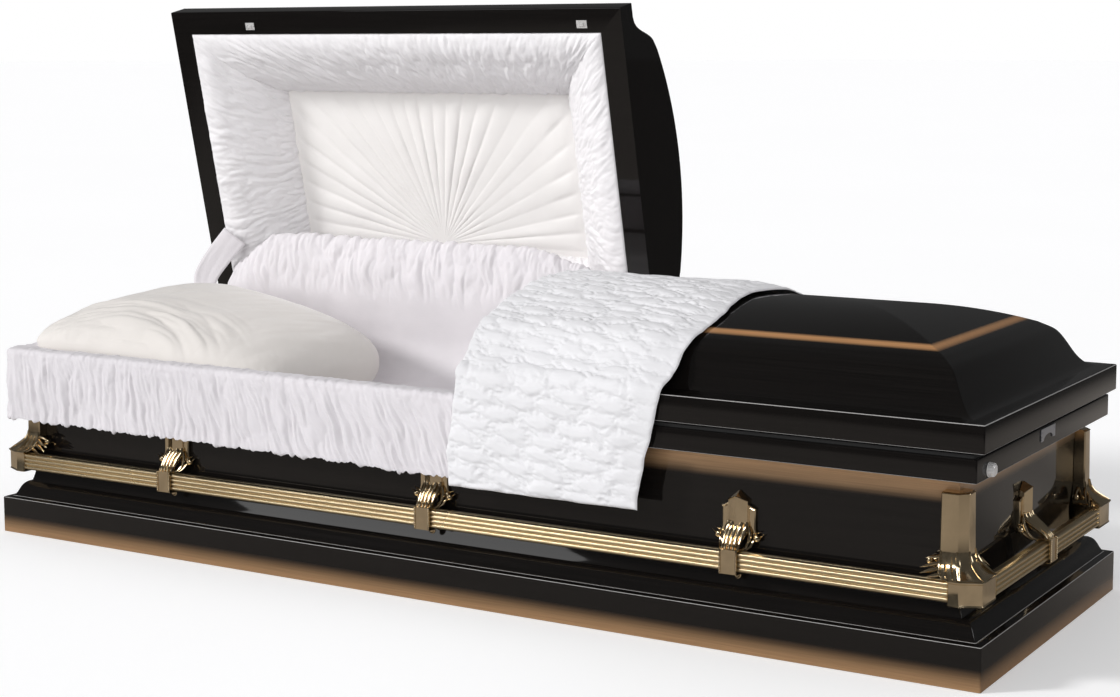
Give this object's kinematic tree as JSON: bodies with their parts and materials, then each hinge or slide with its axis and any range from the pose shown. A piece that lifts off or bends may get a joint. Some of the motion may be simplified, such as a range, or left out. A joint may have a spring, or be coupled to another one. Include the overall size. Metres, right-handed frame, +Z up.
{
  "type": "funeral casket",
  "caption": "Half-couch steel funeral casket with hinged head and foot lids, fixed handle bars in cast corners and lugs, gathered lining, pillow and quilted throw.",
  "frame": {"origin": "centre of the flat underside", "axes": "+X towards the foot end, -Y the open front side, +Y the hinge side, +Z up"},
  "size_m": [2.134, 0.8209, 1.091],
  "materials": {
    "black_paint": "high-gloss black over a brushed ground, shaded to copper along the mouldings",
    "seal": "matt",
    "satin_gold": "satin pale gold, reeded",
    "polished_gold": "polished pale gold plate",
    "bright_steel": "polished",
    "hinge_steel": "plain",
    "ivory_satin": "ivory satin, soft sheen",
    "white_cloth": "white crepe, gathered",
    "quilted_white": "white satin, quilted and crinkled"
  },
  "bodies": {
    "casket": {"apron_back": "white_cloth", "apron_front": "white_cloth", "apron_head_end": "white_cloth", "base_moulding": "black_paint", "body_shell": "black_paint", "corner_back_foot": "polished_gold", "corner_back_head": "polished_gold", "corner_front_foot": "polished_gold", "corner_front_head": "polished_gold", "end_plate": "bright_steel", "handle_bar_back": "satin_gold", "handle_bar_foot": "satin_gold", "handle_bar_front": "satin_gold", "handle_bar_head": "satin_gold", "hinge_foot_1_body_leaf": "hinge_steel", "hinge_foot_2_body_leaf": "hinge_steel", "hinge_head_1_body_leaf": "hinge_steel", "hinge_head_2_body_leaf": "hinge_steel", "lid_stay": "white_cloth", "lug_back_1": "polished_gold", "lug_back_2": "polished_gold", "lug_back_3": "polished_gold", "lug_foot": "polished_gold", "lug_front_1": "polished_gold", "lug_front_2": "polished_gold", "lug_front_3": "polished_gold", "lug_head": "polished_gold", "mattress": "white_cloth", "pillow": "ivory_satin", "rim_gasket": "seal", "tube_cap": "bright_steel", "wall_lining": "white_cloth"},
    "head_lid": {"head_lid_shell": "black_paint", "lid_border_puffs": "white_cloth", "lid_sunburst_panel": "ivory_satin", "lid_catch_left": "bright_steel", "lid_catch_right": "bright_steel", "hinge_head_1_lid_leaf": "hinge_steel", "hinge_head_2_lid_leaf": "hinge_steel"},
    "foot_lid": {"foot_lid_shell": "black_paint", "foot_lid_lining": "white_cloth", "throw": "quilted_white", "hinge_foot_1_lid_leaf": "hinge_steel", "hinge_foot_2_lid_leaf": "hinge_steel"}
  },
  "joints": [
    {"name": "head_lid_hinge", "type": "hinge", "parent": "casket", "child": "head_lid", "pos_m": [0, 0.357, 0.392], "axis": [1, 0, 0], "range_deg": [0, 75.9], "deforming": ["pillow", "apron_back", "lid_stay"]},
    {"name": "foot_lid_hinge", "type": "hinge", "parent": "casket", "child": "foot_lid", "pos_m": [0, 0.357, 0.392], "axis": [1, 0, 0], "range_deg": [-77.5, 0]}
  ]
}
